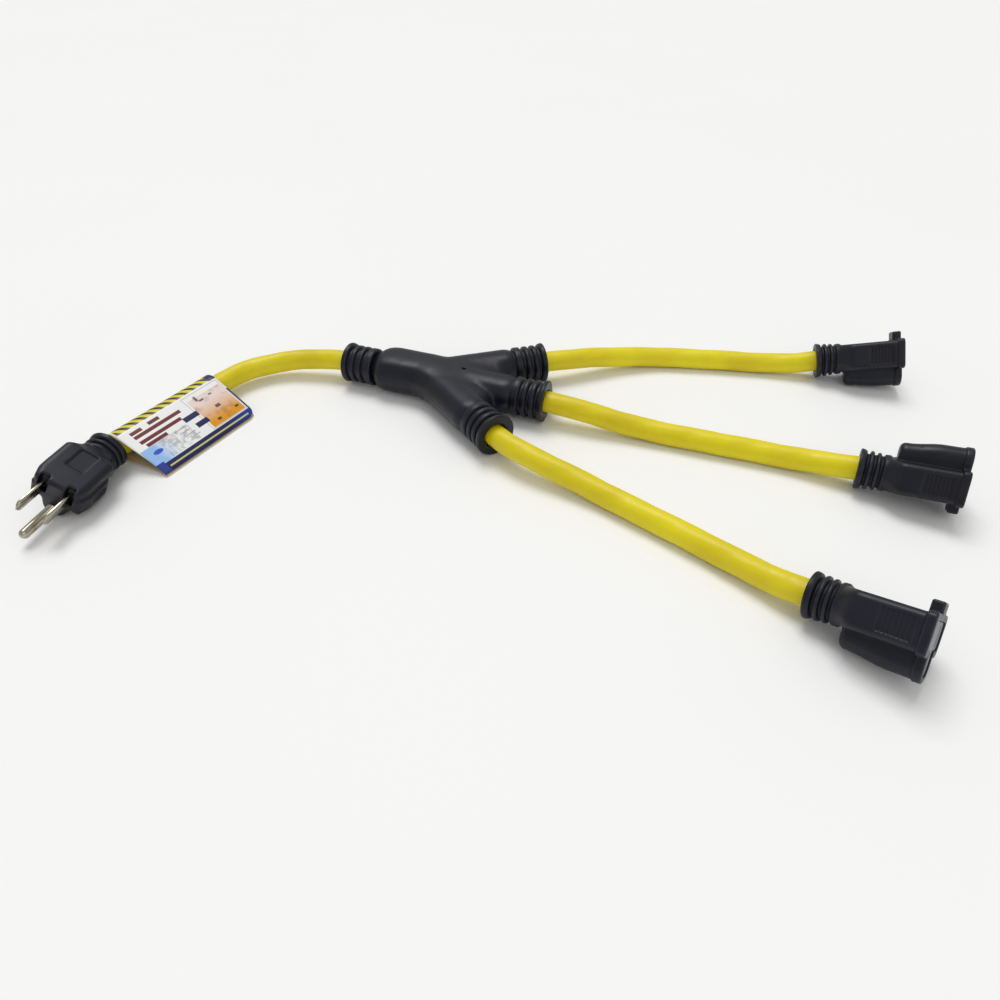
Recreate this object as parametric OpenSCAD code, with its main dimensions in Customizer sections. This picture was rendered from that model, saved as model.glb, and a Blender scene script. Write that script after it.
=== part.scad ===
// Three-way splitter extension cord: a grounded plug on a short lead, a moulded
// splitter block and three branch leads, each with a grounded single outlet.
// Millimetres. +Z is up, +X runs along the block from its inlet to its outlets.
// The origin is on the resting surface, under the middle of the block.

/* [Cable] */
// Outer diameter of the jacketed cable
cable_d = 12; // [11:0.5:12.5]
// Diameter of one insulated conductor
wire_d = 3.8; // [3:0.1:3.8]

/* [Splitter block] */
// Length of the block, from the inlet collar to the middle outlet collar
block_len = 124; // [122:1:128]
// Angle of the outer outlets from the middle one
outlet_angle = 35; // [33:1:36]
// Diameter of the flared collar at the end of each neck
block_collar_d = 24; // [22:0.5:24]
// Length of a ribbed neck on the block
block_neck_len = 17; // [15:1:18]
// Height of the block's middle, where the arms meet
block_hub_h = 21; // [20:0.5:23]

/* [Plug] */
// Length of the plug, from its cable collar to its face
plug_len = 41; // [40.5:0.5:44]
// Width of the plug across its blades
plug_w = 25; // [24:0.5:27]
// How far the two blades stand out of the face
blade_reach = 15.9; // [15.9:0.1:18.2]
// Straight length of the ground pin outside the face, without its round tip
ground_reach = 18; // [18:0.1:18.8]

/* [Outlet connectors] */
// Length of a connector, from its cable collar to its face
conn_len = 46; // [45:0.5:48]
// Width of a connector across its two slots
conn_w = 26; // [25.5:0.5:28]
// Thickness of the part of a connector that holds the two slots
conn_t = 15.5; // [15:0.5:16.5]
// Radius of the ground hole in the outlet face
ground_hole_r = 2.65; // [2.55:0.05:2.7]

/* [Card tag] */
// Length of the folded card along the cable
tag_len = 65; // [50:1:65]
// Distance from the cable's middle to the free edge of the card
tag_reach = 30; // [26:1:32]
// Thickness of the card
card_t = 0.4; // [0.3:0.1:0.6]

/* [Hidden] */
$fn = 48;
cut = 1;                 // how far a cutter runs past the face it cuts
touch_gap = 0.02;        // clearance between pieces that sit snugly together
cable_r = cable_d / 2;
wire_r = wire_d / 2;
bundle_r = wire_r * 1.21;        // radius of the circle that three twisted conductors sit on
channel_r = 4.4;                 // radius of the hole that the conductor bundle runs in
cable_sides = 12;
wire_sides = 8;

// The grounded blade pattern: two blades in line, the ground pin below them
blade_gap = 12.7;                // between the middles of the two blades
blade_h = 6.35;
blade_t = 1.52;
ground_drop = 11.9;              // from the line of the blades to the ground pin
ground_r = 2.375;
pole_y = blade_gap / 2;

// Splitter block
mid_z = block_collar_d / 2;      // height of the cable axis at the block
inlet_x = -block_len / 2;
neck_root_r = 9.3;
neck_rib_r = 10.6;
collar_w = 3;
neck_ribs = 3;
hub_x = -10;                     // where the three outlet axes meet
outer_reach = 69.7;              // from the hub to an outer outlet's collar face
middle_reach = block_len / 2 - hub_x;
pole_step = 5;                   // the three buses are stacked this far apart
cavity_r = 8.6;
arm_channel_r = 7.2;
bus_t = 1.2;
bus_x0 = -15;
bus_x1 = -1;
bus_w = 11;
branch_step = 4.2;               // between the three branch barrels on a bus
barrel_len = 5;

// Outlet directions: 1 is the left branch, 0 the centre one and -1 the right one
outlets = [1, 0, -1];
function outlet_heading(side) = side * outlet_angle;
function outlet_reach(side) = side == 0 ? middle_reach : outer_reach;
function heading(a) = [cos(a), sin(a), 0];
function outlet_face(side) =
    [hub_x, 0, mid_z] + outlet_reach(side) * heading(outlet_heading(side));

// Connectors: name, middle of the collar face, then yaw, pitch and roll as they lie
connectors = [
    ["left", [200.6, 101.7, 10.7], 10, -12, -31],
    ["centre", [223.8, -0.6, 10.5], -5.7, -6, 152.4],
    ["right", [205.1, -95.6, 10.7], -21, -13.4, -41.2],
];
conn_collar_r = 10.2;
conn_neck_len = 13;
conn_rib_r = 9.6;
conn_root_r = 8.4;
conn_slab_x = 20;                // where the full-width slab starts
lobe_r = 5.8;                    // radius of the lobe round the ground hole
lobe_x = 20.5;                   // where the lobe starts
lobe_full_x = 30;                // where it has reached its full depth
lobe_start_r = 5.3;
lobe_start_z = -10.9;
flange_x = conn_len - 2.6;
flange_lip = 0.8;
tab_w = 9;
tab_h = 4.4;
tab_len = 4.6;
carrier_x = 25;                  // back of the contact carrier
carrier_w = conn_w - 4;
carrier_t = conn_t - 4;
carrier_lobe_r = 4.4;
slot_t = 2.2;
line_slot_h = 7.2;
neutral_slot_h = 8.6;            // the neutral slot is the taller one
slot_lip = 3;                    // thickness of the carrier's face in front of the contacts
contact_t = 0.8;
contact_h = 6;
sleeve_r = 3.5;
sleeve_len = 10;
lead_bend_x = conn_neck_len + 1;  // where the conductors spread out of the bundle
lead_in_x = 21.5;                 // where a conductor meets its contact

// Plug, as it lies: middle of its collar face, yaw, pitch and roll
plug_at = [-134.4, -118.8, 11.6];
plug_yaw = -82;
plug_pitch = -1.5;
plug_roll = -30;
blade_z = 4;                     // the blades sit this far above the cable axis
plug_collar_r = 10;
plug_neck_len = 13;
plug_rib_r = 9.6;
plug_root_r = 8.4;
plug_ground_z = blade_z - ground_drop;
plug_top = blade_z + 7;          // height of the flat top face
plug_keel_r = 5.6;
bridge_x = 30;
bridge_len = 8;
pin_stem_r = 2.8;                // the ground pin is thicker inside the plug
plug_barrel_len = 6;

// Cable routes, from a collar of the block outwards
inlet_route = [
    [-62, 0, 12], [-70, -0.2, 11.8], [-77.5, -1.2, 11.3], [-85, -2.9, 10.8], [-92, -5, 10.2],
    [-98.7, -7.8, 9.6], [-104.9, -11.4, 9.1], [-110.4, -15.8, 8.7], [-115.1, -21.1, 8.6],
    [-118.9, -27.3, 8.7], [-121.6, -34.2, 8.8], [-123.2, -41.5, 8.9], [-124.3, -49, 9],
    [-127.1, -66, 9.1], [-129.9, -83, 9.1], [-132.2, -97, 9.2], [-133.7, -108, 9.6],
    [-134.4, -118.8, 11.6],
];
left_route = [
    [47.1, 40, 12], [55.3, 45.7, 12], [66, 53.5, 11.2], [79, 63.5, 9.4], [92, 72, 7.6],
    [105, 79.2, 6.4], [119, 84, 6], [134, 88, 6], [147, 91.3, 6], [159, 94, 6],
    [170, 96.3, 6.2], [181, 98.4, 7], [191, 100, 8.5], [200.6, 101.7, 10.7],
];
centre_route = [
    [62, 0, 12], [74, 0, 11.6], [86, 0, 10.4], [98, 0.5, 8.7], [110, 1, 7.2],
    [124, 1.5, 6.2], [138, 1.8, 6], [152, 2.2, 6], [166, 2.6, 6], [179, 2.8, 6],
    [191, 2.7, 6.3], [202, 2.1, 7.2], [213, 0.9, 8.8], [223.8, -0.6, 10.5],
];
right_route = [
    [47.1, -40, 12], [55.5, -44.8, 12], [65.5, -48.5, 11.4], [76.5, -51.2, 10.2],
    [88, -53.5, 8.7], [100, -56.3, 7.3], [112, -59.8, 6.3], [125, -64.2, 6],
    [137.4, -68.5, 6], [149, -72.7, 6], [160.5, -77, 6.1], [171.5, -81.5, 6.4],
    [182, -86, 7.1], [193, -91, 8.5], [205.1, -95.6, 10.7],
];

// The straight stretch of the inlet cable that the card is folded round
tag_axis_at = [-124, -49, 9.4];
tag_axis_heading = -99;
tag_start = -0.5;
tag_drop = 8.4;                  // the free edge lies this far below the cable axis
loop_r = 7.5;                    // inside radius of the fold
leaf_gap = 0.3;                  // between the two leaves at the free edge
glue_w = 7;

POLES = ["line", "neutral", "ground"];

// Colours
pvc_black = "#23252f";
nylon_grey = "#3a3c42";
cable_yellow = "#e8d820";
wire_black = "#161616";
wire_white = "#e8e8e0";
wire_green = "#1f7a3a";
tinned = "#b9b7ae";
function wire_colour(pole) =
    pole == "line" ? wire_black : pole == "neutral" ? wire_white : wire_green;

// ---------------------------------------------------------------- swept tubes

function unit(v) = v / norm(v);

// Directions along a route, with the first and the last one given
function route_directions(route, first, last) = [
    for (i = [0:len(route) - 1])
        i == 0 ? unit(first)
        : i == len(route) - 1 ? unit(last)
        : unit(unit(route[i + 1] - route[i]) + unit(route[i] - route[i - 1]))
];

// One closed tube along a route that is nowhere upright
module tube(route, radius, sides, first, last) {
    directions = route_directions(route, first, last);
    rings = len(route);
    points = [
        for (i = [0:rings - 1])
            let (across = unit(cross(directions[i], [0, 0, 1])),
                 upward = cross(across, directions[i]))
            for (j = [0:sides - 1])
                let (a = 360 * (j + 0.5) / sides)
                route[i] + radius * (cos(a) * across + sin(a) * upward)
    ];
    walls = [
        for (i = [0:rings - 2], j = [0:sides - 1])
            let (k = (j + 1) % sides)
            [i * sides + j, (i + 1) * sides + j, (i + 1) * sides + k, i * sides + k]
    ];
    caps = [
        [for (j = [0:sides - 1]) j],
        [for (j = [sides - 1:-1:0]) (rings - 1) * sides + j]
    ];
    polyhedron(points = points, faces = concat(walls, caps));
}

// Where one conductor of the twisted bundle sits, as offsets across and up
function bundle_offset(pole) =
    pole == "line" ? [0, bundle_r]
    : pole == "neutral" ? bundle_r * [-cos(30), -0.5]
    : bundle_r * [cos(30), -0.5];

// ---------------------------------------------------------------- ribbed necks

// A neck along +X with its flared collar at x = 0 and ribs behind it
module ribbed_neck(length, collar_r, rib_r, root_r, ribs) {
    pitch = (length - collar_w) / ribs;
    outline = concat(
        [[0, 0], [collar_r - 0.6, 0], [collar_r, 0.8], [collar_r, collar_w - 0.8],
         [collar_r - 0.6, collar_w]],
        [for (i = [0:ribs - 1])
            each [
                [root_r, collar_w + i * pitch + 0.2],
                [root_r, collar_w + (i + 0.42) * pitch],
                [rib_r - 0.3, collar_w + (i + 0.45) * pitch],
                [rib_r, collar_w + (i + 0.6) * pitch],
                [rib_r, collar_w + (i + 0.85) * pitch],
                [rib_r - 0.3, collar_w + (i + 0.98) * pitch]
            ]],
        [[root_r, length], [0, length]]
    );
    rotate([90, 0, 90]) rotate_extrude() polygon(outline);
}

module rod_x(x0, x1, r) {
    translate([x0, 0, 0]) rotate([0, 90, 0]) cylinder(h = x1 - x0, r = r);
}

// ---------------------------------------------------------------- splitter block

// Frame of one outlet: +X points inwards from its collar face
module at_outlet(side) {
    translate(outlet_face(side)) rotate([0, 0, outlet_heading(side) + 180]) children();
}

module at_inlet() {
    translate([inlet_x, 0, mid_z]) children();
}

module lump(x, y, r, half_h) {
    translate([x, y, mid_z]) scale([1, 1, half_h / r]) sphere(r = r, $fn = 32);
}

module hub() {
    lump(hub_x - 2, 2, 14, block_hub_h / 2);
}

// The fullest part of the trunk, just past the inlet neck
module trunk() {
    lump(inlet_x + 27, 2, 15, 11.8);
}

module block_arm(side) {
    inner = outlet_face(side) - (block_neck_len + 4.5) * heading(outlet_heading(side));
    hull() {
        hub();
        lump(inner[0], inner[1], 11.4, 10.6);
    }
}

module block_shape() {
    hull() {
        lump(inlet_x + block_neck_len + 3, 0, 10.2, 9.8);
        trunk();
    }
    hull() {
        trunk();
        hub();
    }
    for (side = outlets) block_arm(side);
    hull() {
        lump(0, 1, 13, block_hub_h / 2);
        lump(25, 14, 8.5, 9.5);
        lump(25, -13, 8, 9);
    }
}

module block_overmould() {
    color(pvc_black)
    difference() {
        union() {
            block_shape();
            at_inlet() ribbed_neck(block_neck_len, mid_z, neck_rib_r, neck_root_r, neck_ribs);
            for (side = outlets)
                at_outlet(side)
                    ribbed_neck(block_neck_len, mid_z, neck_rib_r, neck_root_r, neck_ribs);
        }
        at_inlet() rod_x(-cut, -bus_x0 + 10, channel_r);
        at_inlet() rod_x(block_neck_len, 45, arm_channel_r);
        translate([0, 0, mid_z]) rod_x(bus_x0 - 6, 7, cavity_r);
        for (side = outlets) {
            at_outlet(side) rod_x(-cut, block_neck_len + cut, channel_r);
            at_outlet(side) rod_x(block_neck_len, outlet_reach(side) - 12, arm_channel_r);
        }
    }
}

function pole_level(pole) = pole == "line" ? pole_step : pole == "neutral" ? 0 : -pole_step;

// The moulded spacer that keeps the three buses apart
module splice_spacer() {
    color(nylon_grey)
    translate([0, 0, mid_z])
    difference() {
        rod_x(bus_x0 + 3, bus_x1 - 3, cavity_r - touch_gap);
        for (pole = POLES)
            translate([bus_x0, -bus_w / 2 - touch_gap,
                       pole_level(pole) - bus_t / 2 - touch_gap])
                cube([bus_x1 - bus_x0, bus_w + 2 * touch_gap, bus_t + 2 * touch_gap]);
    }
}

// One bus: a plate with an inlet barrel and three branch barrels crimped to it
module splice_bus(pole) {
    color(tinned)
    translate([0, 0, mid_z + pole_level(pole)]) {
        translate([bus_x0, -bus_w / 2, -bus_t / 2])
            cube([bus_x1 - bus_x0, bus_w, bus_t]);
        rod_x(bus_x0 - barrel_len, bus_x0 + cut, wire_r);
        for (side = outlets)
            translate([0, side * branch_step, 0])
                rod_x(bus_x1 - cut, bus_x1 + barrel_len, wire_r);
    }
}

// A point on a conductor inside the block: t runs from 0 at its bus to 1 in the bundle
function block_lead_point(face, direction, distance, pole, t) =
    let (across = [-direction[1], direction[0], 0],
         offset = bundle_offset(pole))
    face - distance * direction
        + pow(t, 1 / 3) * offset[0] * across
        + [0, 0, (1 - t) * pole_level(pole) + t * offset[1]];

module block_branch_lead(pole, side) {
    direction = heading(outlet_heading(side));
    face = outlet_face(side);
    start = [bus_x1 + barrel_len, side * branch_step, mid_z + pole_level(pole)];
    tube(
        [
            start,
            block_lead_point(face, direction, outlet_reach(side) - 33, pole, 0.1),
            block_lead_point(face, direction, outlet_reach(side) - 44, pole, 0.6),
            block_lead_point(face, direction, block_neck_len, pole, 1),
            block_lead_point(face, direction, touch_gap, pole, 1)
        ],
        wire_r - touch_gap, wire_sides, [1, 0, 0], direction
    );
}

module block_inlet_lead(pole) {
    direction = [-1, 0, 0];
    face = [inlet_x, 0, mid_z];
    start = [bus_x0 - barrel_len, 0, mid_z + pole_level(pole)];
    tube(
        [
            start,
            block_lead_point(face, direction, 34, pole, 0.4),
            block_lead_point(face, direction, block_neck_len, pole, 1),
            block_lead_point(face, direction, touch_gap, pole, 1)
        ],
        wire_r - touch_gap, wire_sides, direction, direction
    );
}

module block_leads(pole) {
    color(wire_colour(pole)) {
        block_inlet_lead(pole);
        for (side = outlets) block_branch_lead(pole, side);
    }
}

// ---------------------------------------------------------------- cables

module inlet_cord() {
    color(cable_yellow)
    tube(inlet_route, cable_r, cable_sides, [-1, 0, 0],
         heading(plug_yaw) - [0, 0, tan(plug_pitch)]);
}

module branch_cord(route, side, c) {
    color(cable_yellow)
    tube(route, cable_r, cable_sides, heading(outlet_heading(side)),
         heading(c[2]) - [0, 0, tan(c[3])]);
}

// ---------------------------------------------------------------- plug

// Plug frame: the collar face is at x = 0 and the blades point along +X
module at_plug() {
    translate(plug_at) rotate([plug_roll, plug_pitch, plug_yaw]) children();
}

// One slice of the plug: a flat top, a shoulder on each side and a keel that
// reaches down to keel_z round the ground pin
module plug_section(x, w, top, length, keel_z) {
    corner = 3.5;
    translate([x, 0, 0]) {
        for (side = [-1, 1])
            translate([0, side * (w / 2 - corner), top - corner])
                rod_x(0, length, corner);
        for (side = [-1, 1])
            translate([0, side * (w / 2 - 2.5), -1]) rod_x(0, length, 2.5);
        translate([0, 0, keel_z]) rod_x(0, length, plug_keel_r);
    }
}

module plug_shape() {
    hull() {
        rod_x(plug_neck_len - 1, plug_neck_len, plug_root_r);
        plug_section(plug_neck_len + 5, plug_w - 1, plug_top, 1, plug_ground_z + 2);
    }
    hull() {
        plug_section(plug_neck_len + 5, plug_w - 1, plug_top, 1, plug_ground_z + 2);
        plug_section(plug_len - 5, plug_w, plug_top, 1, plug_ground_z);
        plug_section(plug_len - 1, plug_w - 2, plug_top - 1, 1, plug_ground_z + 0.4);
    }
}

module plug_body() {
    at_plug() color(pvc_black)
    difference() {
        union() {
            plug_shape();
            ribbed_neck(plug_neck_len, plug_collar_r, plug_rib_r, plug_root_r, neck_ribs);
        }
        rod_x(-cut, plug_neck_len + 8, channel_r);
        translate([plug_neck_len + 7, -8.6, blade_z - 4])
            cube([bridge_x - plug_neck_len - 7 + cut, 17.2, 7.6]);
        translate([plug_neck_len + 7, -3, plug_ground_z - 3])
            cube([bridge_x - plug_neck_len - 7 + cut, 6, ground_drop]);
        bridge_shape(bridge_x, bridge_len, 0);
        for (side = [-1, 1])
            translate([bridge_x, side * pole_y - blade_t / 2, blade_z - blade_h / 2])
                cube([plug_len, blade_t, blade_h]);
        translate([0, 0, plug_ground_z]) rod_x(bridge_x, plug_len + cut, pin_stem_r);
        // shallow panel in the top face
        translate([plug_neck_len + 5, -4.2, plug_top - 0.6]) cube([12, 8.4, 2]);
    }
}

// Outline of the hard bridge that holds the blades and the ground pin in line
module bridge_shape(x, length, play) {
    translate([x, -9 + play, blade_z - 4 + play])
        cube([length, 18 - 2 * play, 8 - 2 * play]);
    translate([x, -3.5 + play, plug_ground_z]) cube([length, 7 - 2 * play, ground_drop]);
    translate([0, 0, plug_ground_z]) rod_x(x, x + length, 4.4 - play);
}

module plug_bridge() {
    at_plug() color(nylon_grey)
    difference() {
        bridge_shape(bridge_x + touch_gap, bridge_len - 2 * touch_gap, touch_gap);
        for (side = [-1, 1])
            translate([bridge_x - cut, side * pole_y - blade_t / 2, blade_z - blade_h / 2])
                cube([bridge_len + 2 * cut, blade_t, blade_h]);
        translate([0, 0, plug_ground_z])
            rod_x(bridge_x - cut, bridge_x + bridge_len + cut, pin_stem_r);
    }
}

// One flat blade with a bevelled tip and a crimp barrel behind the bridge
module plug_blade(side) {
    tip = plug_len + blade_reach;
    bevel = 1.6;
    at_plug() color(tinned)
    translate([0, side * pole_y, blade_z]) {
        translate([0, blade_t / 2, 0]) rotate([90, 0, 0]) linear_extrude(blade_t)
            polygon([
                [bridge_x - 1, -blade_h / 2], [tip - bevel, -blade_h / 2],
                [tip, -blade_h / 2 + bevel], [tip, blade_h / 2 - bevel],
                [tip - bevel, blade_h / 2], [bridge_x - 1, blade_h / 2]
            ]);
        rod_x(bridge_x - plug_barrel_len, bridge_x - 1, wire_r);
    }
}

module line_blade() { plug_blade(-1); }

module neutral_blade() { plug_blade(1); }

module ground_pin() {
    at_plug() color(tinned)
    translate([0, 0, plug_ground_z]) {
        rod_x(bridge_x - 1, plug_len, pin_stem_r);
        rod_x(plug_len - cut, plug_len + ground_reach, ground_r);
        translate([plug_len + ground_reach, 0, 0]) sphere(r = ground_r);
        rod_x(bridge_x - plug_barrel_len, bridge_x - 1, wire_r);
    }
}

function plug_terminal(pole) =
    pole == "line" ? [-pole_y, blade_z]
    : pole == "neutral" ? [pole_y, blade_z]
    : [0, plug_ground_z];

// In the plug the ground conductor is the lowest of the three
function plug_bundle(pole) =
    pole == "line" ? bundle_r * [-cos(30), 0.5]
    : pole == "neutral" ? bundle_r * [cos(30), 0.5]
    : [0, -bundle_r];

module terminal_lead(bundle, terminal, straight_x, end_x) {
    middle = (bundle + terminal) / 2;
    tube(
        [
            [touch_gap, bundle[0], bundle[1]],
            [straight_x, bundle[0], bundle[1]],
            [(straight_x + end_x) / 2, middle[0], middle[1]],
            [end_x, terminal[0], terminal[1]]
        ],
        wire_r - touch_gap, wire_sides, [1, 0, 0], [1, 0, 0]
    );
}

module plug_lead(pole) {
    at_plug() color(wire_colour(pole))
        terminal_lead(plug_bundle(pole), plug_terminal(pole),
                      plug_neck_len + 4, bridge_x - plug_barrel_len);
}

// ---------------------------------------------------------------- outlet connectors

// Connector frame: the collar face is at x = 0, the outlet face at x = conn_len
module at_connector(c) {
    translate(c[1]) rotate([c[4], c[3], c[2]]) children();
}

// A bar along +X with rounded long edges
module rounded_bar(x, length, w, t, corner) {
    translate([x, -w / 2 + corner, -t / 2]) cube([length, w - 2 * corner, t]);
    translate([x, -w / 2, -t / 2 + corner]) cube([length, w, t - 2 * corner]);
    for (y = [-1, 1], z = [-1, 1])
        translate([0, y * (w / 2 - corner), z * (t / 2 - corner)])
            rod_x(x, x + length, corner);
}

module lobe_bar(x, length, r) {
    translate([0, 0, -ground_drop]) rod_x(x, x + length, r);
    translate([x, -r, -ground_drop]) cube([length, 2 * r, ground_drop]);
}

// The sloping hole that the ground conductor takes from the bundle down into the lobe
module ground_lead_channel() {
    drop = ground_drop - bundle_r;
    run = lead_in_x - lead_bend_x;
    translate([lead_bend_x, 0, -bundle_r]) rotate([0, 90 + atan2(drop, run), 0])
        cylinder(h = norm([drop, run]), r = wire_r + 0.3);
}

module connector_body(c) {
    at_connector(c) color(pvc_black)
    difference() {
        union() {
            ribbed_neck(conn_neck_len, conn_collar_r, conn_rib_r, conn_root_r, neck_ribs);
            hull() {
                rod_x(conn_neck_len - 1, conn_neck_len, conn_root_r);
                rounded_bar(conn_slab_x, 1, conn_w, conn_t, 3);
            }
            rounded_bar(conn_slab_x, conn_len - conn_slab_x, conn_w, conn_t, 3);
            lobe_bar(lobe_full_x, conn_len - lobe_full_x, lobe_r);
            hull() {
                translate([0, 0, lobe_start_z]) rod_x(lobe_x, lobe_x + 1, lobe_start_r);
                lobe_bar(lobe_full_x, 1, lobe_r);
            }
            hull() {
                translate([lobe_x + 0.8, 0, lobe_start_z])
                    sphere(r = lobe_start_r - 0.1, $fn = 32);
                translate([conn_neck_len + 3, 0, -3.5]) sphere(r = 4.5, $fn = 32);
            }
            rounded_bar(flange_x, conn_len - flange_x,
                        conn_w + 2 * flange_lip, conn_t + 2 * flange_lip, 3.4);
            lobe_bar(flange_x, conn_len - flange_x, lobe_r + flange_lip);
            translate([conn_len - tab_len, -tab_w / 2, conn_t / 2 - cut])
                cube([tab_len, tab_w, tab_h + flange_lip + cut]);
        }
        rod_x(-cut, conn_neck_len + 5, channel_r);
        rod_x(conn_neck_len, conn_neck_len + 4, channel_r + 0.8);
        ground_lead_channel();
        translate([conn_neck_len + 3, -8.6, -4.6])
            cube([carrier_x - conn_neck_len - 3 + cut, 17.2, 9.2]);
        translate([lobe_x + 0.4, -2.4, -ground_drop - 2.4])
            cube([carrier_x - lobe_x, 4.8, ground_drop]);
        translate([0, 0, -ground_drop])
            rod_x(carrier_x - 1.5, carrier_x + cut, sleeve_r + 0.1);
        carrier_shape(carrier_x, conn_len - carrier_x + cut, 0);
    }
}

module carrier_shape(x, length, play) {
    translate([x, -carrier_w / 2 + play, -carrier_t / 2 + play])
        cube([length, carrier_w - 2 * play, carrier_t - 2 * play]);
    lobe_bar(x, length, carrier_lobe_r - play);
}

function slot_height(side) = side > 0 ? line_slot_h : neutral_slot_h;

// The hard insert that forms the outlet face and holds the three contacts
module contact_carrier(c) {
    at_connector(c) color(nylon_grey)
    difference() {
        carrier_shape(carrier_x + touch_gap, conn_len - carrier_x - touch_gap, touch_gap);
        for (side = [-1, 1])
            translate([0, side * pole_y, 0]) {
                translate([conn_len - slot_lip - cut, -slot_t / 2, -slot_height(side) / 2])
                    cube([slot_lip + 2 * cut, slot_t, slot_height(side)]);
                translate([carrier_x - cut, -2.6, -4.5])
                    cube([conn_len - slot_lip - carrier_x + cut, 5.2, 9]);
            }
        translate([0, 0, -ground_drop]) {
            rod_x(carrier_x - cut, conn_len + cut, ground_hole_r);
            rod_x(carrier_x - cut, carrier_x + sleeve_len, sleeve_r);
        }
    }
}

// Two sprung leaves that grip a blade, joined by a web with a crimp barrel
module slot_contact(c, side) {
    back = carrier_x - 1;
    front = conn_len - slot_lip - 1;
    at_connector(c) color(tinned)
    translate([0, side * pole_y, 0]) {
        for (leaf = [-1, 1])
            translate([back, leaf * (blade_t / 2 + contact_t / 2 + 0.1) - contact_t / 2,
                       -contact_h / 2])
                cube([front - back, contact_t, contact_h]);
        translate([back, -blade_t / 2 - 0.2, -contact_h / 2])
            cube([1, blade_t + 0.4, contact_h]);
        rod_x(lead_in_x, back + 0.2, wire_r);
    }
}

// A sleeve that grips the ground pin
module ground_contact(c) {
    back = carrier_x - 1;
    at_connector(c) color(tinned)
    translate([0, 0, -ground_drop]) {
        difference() {
            rod_x(back, carrier_x + sleeve_len - touch_gap, sleeve_r - touch_gap);
            rod_x(back + 1, carrier_x + sleeve_len + cut, ground_r + 0.05);
        }
        rod_x(lead_in_x, back + 0.2, wire_r);
    }
}

module contact(c, pole) {
    if (pole == "line") slot_contact(c, 1);
    if (pole == "neutral") slot_contact(c, -1);
    if (pole == "ground") ground_contact(c);
}

function outlet_terminal(pole) =
    pole == "line" ? [pole_y, 0] : pole == "neutral" ? [-pole_y, 0] : [0, -ground_drop];

function outlet_bundle(pole) =
    pole == "line" ? bundle_r * [cos(30), 0.5]
    : pole == "neutral" ? bundle_r * [-cos(30), 0.5]
    : [0, -bundle_r];

module outlet_lead(c, pole) {
    at_connector(c) color(wire_colour(pole))
        terminal_lead(outlet_bundle(pole), outlet_terminal(pole), lead_bend_x, lead_in_x);
}

// ---------------------------------------------------------------- card tag

// Tag frame: +Z runs along the cable towards the plug, +X across it towards
// the free edge of the card and +Y up
module at_tag() {
    translate(tag_axis_at) rotate([0, 0, tag_axis_heading + 90]) rotate([90, 0, 0])
        translate([0, 0, tag_start]) children();
}

edge_distance = norm([tag_reach, tag_drop]);
edge_tilt = atan2(-tag_drop, tag_reach);

// Outline of a round fold of radius r that narrows to a given half width
module fold_outline(r, half_w, run_out) {
    reach = norm([edge_distance, half_w]);
    a = atan2(half_w, edge_distance) + acos(r / reach);
    far = [edge_distance + run_out, half_w];
    rotate(edge_tilt) {
        circle(r = r, $fn = 64);
        polygon([
            [0, 0], r * [cos(a), -sin(a)], [far[0], -far[1]], far, r * [cos(a), sin(a)]
        ]);
    }
}

module tag_card() {
    at_tag() color("white")
    linear_extrude(tag_len)
    difference() {
        fold_outline(loop_r + card_t, leaf_gap / 2 + card_t, 0);
        fold_outline(loop_r, leaf_gap / 2, cut);
    }
}

// The strip of adhesive that holds the two leaves together along their free edge
module tag_glue_strip() {
    at_tag() color("ivory")
    rotate([0, 0, edge_tilt])
        translate([edge_distance - glue_w - 1, -leaf_gap / 2, 2])
            cube([glue_w, leaf_gap, tag_len - 4]);
}

// ---------------------------------------------------------------- nodes

block_overmould();
splice_spacer();
for (pole = POLES) {
    splice_bus(pole);
    block_leads(pole);
    plug_lead(pole);
}
inlet_cord();
plug_body();
plug_bridge();
line_blade();
neutral_blade();
ground_pin();
tag_card();
tag_glue_strip();
branch_cord(left_route, 1, connectors[0]);  // left_cord
branch_cord(centre_route, 0, connectors[1]);  // centre_cord
branch_cord(right_route, -1, connectors[2]);  // right_cord
for (c = connectors) {
    connector_body(c);
    contact_carrier(c);
    for (pole = POLES) {
        contact(c, pole);
        outlet_lead(c, pole);
    }
}
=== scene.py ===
"""Looks of a three-way splitter extension cord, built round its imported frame.

Shapes are worked out in millimetres and turned into metres when a mesh is made.
The moulded parts are distance fields: each is a function that is negative inside
the part, and mesh_of_field() puts a quad mesh on its surface.
"""

import math

import bpy
import numpy as np
from mathutils import Matrix, Vector


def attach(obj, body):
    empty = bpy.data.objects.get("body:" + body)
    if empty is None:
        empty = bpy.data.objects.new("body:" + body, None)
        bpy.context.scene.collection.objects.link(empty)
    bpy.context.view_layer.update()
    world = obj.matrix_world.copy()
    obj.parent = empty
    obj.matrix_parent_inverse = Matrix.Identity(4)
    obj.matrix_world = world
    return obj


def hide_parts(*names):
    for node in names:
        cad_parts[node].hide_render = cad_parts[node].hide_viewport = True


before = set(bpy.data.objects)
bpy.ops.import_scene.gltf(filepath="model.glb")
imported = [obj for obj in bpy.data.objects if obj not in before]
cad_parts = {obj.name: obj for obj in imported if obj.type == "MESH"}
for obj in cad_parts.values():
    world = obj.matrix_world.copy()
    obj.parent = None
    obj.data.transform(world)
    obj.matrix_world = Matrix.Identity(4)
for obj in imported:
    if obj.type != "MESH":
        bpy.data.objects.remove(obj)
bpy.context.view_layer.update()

MM = 0.001
CORD_BODY, TAG_BODY = "cord_set", "tag"

# Spacing of the grids that the moulded parts are meshed on, in mm
BLOCK_GRID, OUTLET_GRID, INSERT_GRID, PLUG_GRID = 0.6, 0.5, 0.42, 0.5

# ---------------------------------------------------------------- sizes, in mm

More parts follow.
